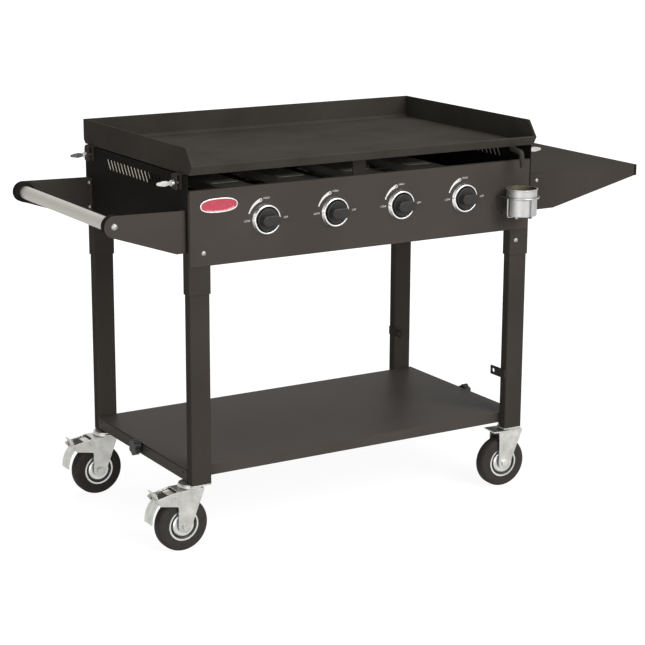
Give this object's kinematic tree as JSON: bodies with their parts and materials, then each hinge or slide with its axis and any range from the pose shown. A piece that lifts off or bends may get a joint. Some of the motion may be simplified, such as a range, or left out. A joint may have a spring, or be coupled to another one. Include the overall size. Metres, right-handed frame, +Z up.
{
  "type": "flat top gas barbecue",
  "caption": "Flat top gas barbecue on a wheeled trolley with a griddle tray, tap knobs, rail handle, side shelf, grease cup, bottom shelf and braked swivel casters.",
  "frame": {"origin": "on the floor, midway between the four legs", "axes": "+X towards the side shelf, +Y from the control panel to the back, +Z up"},
  "size_m": [1.4545, 0.6251, 0.918],
  "materials": {
    "body_paint": "satin charcoal paint",
    "leg_paint": "satin charcoal paint",
    "griddle_black": "black baked finish",
    "bright_steel": "satin steel",
    "zinc": "zinc plated",
    "chrome": "polished",
    "brass": "machined",
    "tin": "tinplate, lacquered inside",
    "knob_black": "matt black",
    "tyre_rubber": "matt rubber"
  },
  "bodies": {
    "frame": {"control_panel": "body_paint", "side_panel_left": "body_paint", "side_panel_right": "body_paint", "back_panel": "body_paint", "base_tray": "body_paint", "centre_support": "griddle_black", "burners": "bright_steel", "burner_rest": "bright_steel", "gas_manifold": "bright_steel", "gas_valves": "brass", "knob_bezels": "chrome", "corner_brackets": "body_paint", "leg_sleeves": "leg_paint", "legs": "leg_paint", "bottom_shelf": "body_paint", "shelf_rails": "body_paint", "handle_arms": "body_paint", "handle_tube": "bright_steel", "side_shelf": "body_paint", "side_shelf_brackets": "body_paint", "cup_holder": "bright_steel", "bottle_tabs": "body_paint", "dome_screws": "zinc", "leg_plugs": "zinc", "caster_heads": "zinc"},
    "griddle": {"griddle_plate": "griddle_black", "drain_spout": "bright_steel"},
    "grease_cup": {"grease_cup": "tin"},
    "valve_stem_1": {"valve_stem_1": "brass"},
    "knob_1": {"knob_1": "knob_black"},
    "valve_stem_2": {"valve_stem_2": "brass"},
    "knob_2": {"knob_2": "knob_black"},
    "valve_stem_3": {"valve_stem_3": "brass"},
    "knob_3": {"knob_3": "knob_black"},
    "valve_stem_4": {"valve_stem_4": "brass"},
    "knob_4": {"knob_4": "knob_black"},
    "thumb_screw_front_left": {"thumb_screw_front_left": "zinc"},
    "thumb_screw_back_left": {"thumb_screw_back_left": "zinc"},
    "thumb_screw_front_right": {"thumb_screw_front_right": "zinc"},
    "thumb_screw_back_right": {"thumb_screw_back_right": "zinc"},
    "shelf_knob_left": {"shelf_knob_left": "knob_black"},
    "shelf_knob_right": {"shelf_knob_right": "knob_black"},
    "caster_fork_front_left": {"caster_fork_front_left": "zinc", "caster_axle_front_left": "zinc"},
    "caster_wheel_front_left": {"caster_hub_front_left": "zinc", "caster_tyre_front_left": "tyre_rubber"},
    "brake_pedal_front_left": {"brake_pedal_front_left": "zinc"},
    "caster_fork_back_left": {"caster_fork_back_left": "zinc", "caster_axle_back_left": "zinc"},
    "caster_wheel_back_left": {"caster_hub_back_left": "zinc", "caster_tyre_back_left": "tyre_rubber"},
    "brake_pedal_back_left": {"brake_pedal_back_left": "zinc"},
    "caster_fork_front_right": {"caster_fork_front_right": "zinc", "caster_axle_front_right": "zinc"},
    "caster_wheel_front_right": {"caster_hub_front_right": "zinc", "caster_tyre_front_right": "tyre_rubber"},
    "caster_fork_back_right": {"caster_fork_back_right": "zinc", "caster_axle_back_right": "zinc"},
    "caster_wheel_back_right": {"caster_hub_back_right": "zinc", "caster_tyre_back_right": "tyre_rubber"}
  },
  "joints": [
    {"name": "griddle_lift", "type": "slide", "parent": "frame", "child": "griddle", "axis": [0, 0, 1], "range_m": [0, 0.15]},
    {"name": "cup_lift", "type": "slide", "parent": "frame", "child": "grease_cup", "axis": [0, 0, 1], "range_m": [0, 0.045]},
    {"name": "knob_push_1", "type": "slide", "parent": "frame", "child": "valve_stem_1", "axis": [0, 1, 0], "range_m": [0, 0.004], "stiffness_N_per_m": 800},
    {"name": "knob_turn_1", "type": "hinge", "parent": "valve_stem_1", "child": "knob_1", "pos_m": [-0.26775, -0.2695, 0.747], "axis": [0, -1, 0], "range_deg": [0, 180]},
    {"name": "knob_push_2", "type": "slide", "parent": "frame", "child": "valve_stem_2", "axis": [0, 1, 0], "range_m": [0, 0.004], "stiffness_N_per_m": 800},
    {"name": "knob_turn_2", "type": "hinge", "parent": "valve_stem_2", "child": "knob_2", "pos_m": [-0.08925, -0.2695, 0.747], "axis": [0, -1, 0], "range_deg": [0, 180]},
    {"name": "knob_push_3", "type": "slide", "parent": "frame", "child": "valve_stem_3", "axis": [0, 1, 0], "range_m": [0, 0.004], "stiffness_N_per_m": 800},
    {"name": "knob_turn_3", "type": "hinge", "parent": "valve_stem_3", "child": "knob_3", "pos_m": [0.08925, -0.2695, 0.747], "axis": [0, -1, 0], "range_deg": [0, 180]},
    {"name": "knob_push_4", "type": "slide", "parent": "frame", "child": "valve_stem_4", "axis": [0, 1, 0], "range_m": [0, 0.004], "stiffness_N_per_m": 800},
    {"name": "knob_turn_4", "type": "hinge", "parent": "valve_stem_4", "child": "knob_4", "pos_m": [0.26775, -0.2695, 0.747], "axis": [0, -1, 0], "range_deg": [0, 180]},
    {"name": "thumb_screw_front_left_turn", "type": "hinge", "parent": "frame", "child": "thumb_screw_front_left", "pos_m": [-0.476, -0.228, 0.84], "axis": [-1, 0, 0], "continuous": true},
    {"name": "thumb_screw_back_left_turn", "type": "hinge", "parent": "frame", "child": "thumb_screw_back_left", "pos_m": [-0.476, 0.228, 0.84], "axis": [-1, 0, 0], "continuous": true},
    {"name": "thumb_screw_front_right_turn", "type": "hinge", "parent": "frame", "child": "thumb_screw_front_right", "pos_m": [0.476, -0.228, 0.84], "axis": [1, 0, 0], "continuous": true},
    {"name": "thumb_screw_back_right_turn", "type": "hinge", "parent": "frame", "child": "thumb_screw_back_right", "pos_m": [0.476, 0.228, 0.84], "axis": [1, 0, 0], "continuous": true},
    {"name": "shelf_knob_left_turn", "type": "hinge", "parent": "frame", "child": "shelf_knob_left", "pos_m": [-0.4586, 0, 0.179], "axis": [-1, 0, 0], "continuous": true},
    {"name": "shelf_knob_right_turn", "type": "hinge", "parent": "frame", "child": "shelf_knob_right", "pos_m": [0.4586, 0, 0.179], "axis": [1, 0, 0], "continuous": true},
    {"name": "caster_swivel_front_left", "type": "hinge", "parent": "frame", "child": "caster_fork_front_left", "pos_m": [-0.4463, -0.2283, 0.146], "axis": [0, 0, 1], "continuous": true},
    {"name": "caster_roll_front_left", "type": "hinge", "parent": "caster_fork_front_left", "child": "caster_wheel_front_left", "pos_m": [-0.4713, -0.2283, 0.0625], "axis": [0, 1, 0], "continuous": true},
    {"name": "brake_press_front_left", "type": "hinge", "parent": "caster_fork_front_left", "child": "brake_pedal_front_left", "pos_m": [-0.4918, -0.2283, 0.1335], "axis": [0, -1, 0], "range_deg": [0, 10]},
    {"name": "caster_swivel_back_left", "type": "hinge", "parent": "frame", "child": "caster_fork_back_left", "pos_m": [-0.4463, 0.2283, 0.146], "axis": [0, 0, 1], "continuous": true},
    {"name": "caster_roll_back_left", "type": "hinge", "parent": "caster_fork_back_left", "child": "caster_wheel_back_left", "pos_m": [-0.4713, 0.2283, 0.0625], "axis": [0, 1, 0], "continuous": true},
    {"name": "brake_press_back_left", "type": "hinge", "parent": "caster_fork_back_left", "child": "brake_pedal_back_left", "pos_m": [-0.4918, 0.2283, 0.1335], "axis": [0, -1, 0], "range_deg": [0, 10]},
    {"name": "caster_swivel_front_right", "type": "hinge", "parent": "frame", "child": "caster_fork_front_right", "pos_m": [0.4463, -0.2283, 0.146], "axis": [0, 0, 1], "continuous": true},
    {"name": "caster_roll_front_right", "type": "hinge", "parent": "caster_fork_front_right", "child": "caster_wheel_front_right", "pos_m": [0.42136, -0.22656, 0.0625], "axis": [0.0698, 0.9976, 0], "continuous": true},
    {"name": "caster_swivel_back_right", "type": "hinge", "parent": "frame", "child": "caster_fork_back_right", "pos_m": [0.4463, 0.2283, 0.146], "axis": [0, 0, 1], "continuous": true},
    {"name": "caster_roll_back_right", "type": "hinge", "parent": "caster_fork_back_right", "child": "caster_wheel_back_right", "pos_m": [0.4214, 0.23048, 0.0625], "axis": [0.0872, 0.9962, 0], "continuous": true}
  ]
}
